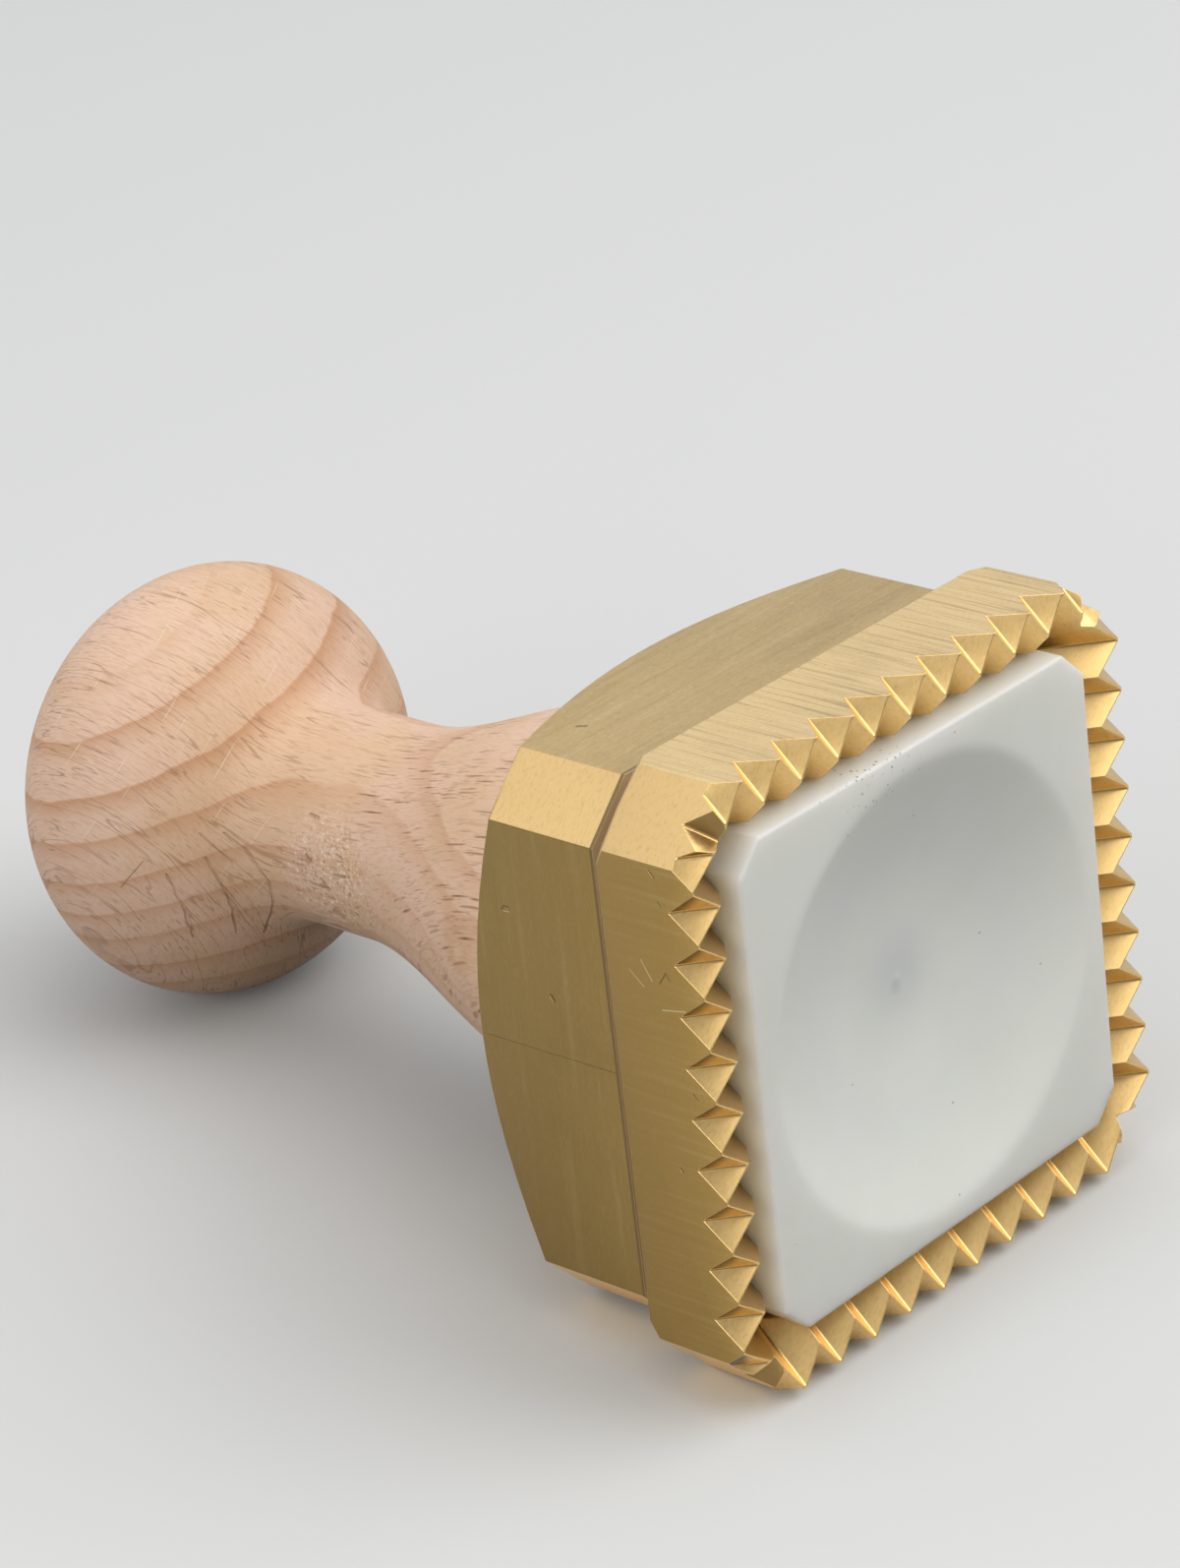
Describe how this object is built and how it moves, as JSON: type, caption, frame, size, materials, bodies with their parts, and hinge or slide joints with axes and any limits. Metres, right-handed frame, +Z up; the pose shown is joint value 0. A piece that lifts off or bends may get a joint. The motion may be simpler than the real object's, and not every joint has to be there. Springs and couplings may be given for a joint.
{
  "type": "ravioli stamp",
  "caption": "Square toothed brass stamp that cuts filled pasta, with a sprung dished ejector plate and a turned wooden handle.",
  "frame": {"origin": "middle of the stamp's box, on the plane of the cutter's lower side", "axes": "+X along the stamp's axis towards the teeth, +Z up from the cutter's lower side, +Y across"},
  "size_m": [0.109, 0.06, 0.06],
  "materials": {
    "brass": "milled and brushed brass",
    "white_plastic": "milky satin plastic",
    "beech": "sanded bare beech",
    "steel": "plain steel"
  },
  "bodies": {
    "stamp": {"handle": "beech", "rear_block": "brass", "cutter_frame": "brass", "frame_screw_1": "steel", "frame_screw_2": "steel", "frame_screw_3": "steel", "frame_screw_4": "steel", "ejector_spring": "steel"},
    "ejector": {"ejector_plate": "white_plastic", "guide_stem": "steel", "stem_washer": "steel", "stem_nut": "steel"}
  },
  "joints": [
    {"name": "ejector_push", "type": "slide", "parent": "stamp", "child": "ejector", "axis": [-1, 0, 0], "range_m": [0, 0.005], "stiffness_N_per_m": 600, "springref_m": -0.006, "deforming": ["ejector_spring"]}
  ]
}
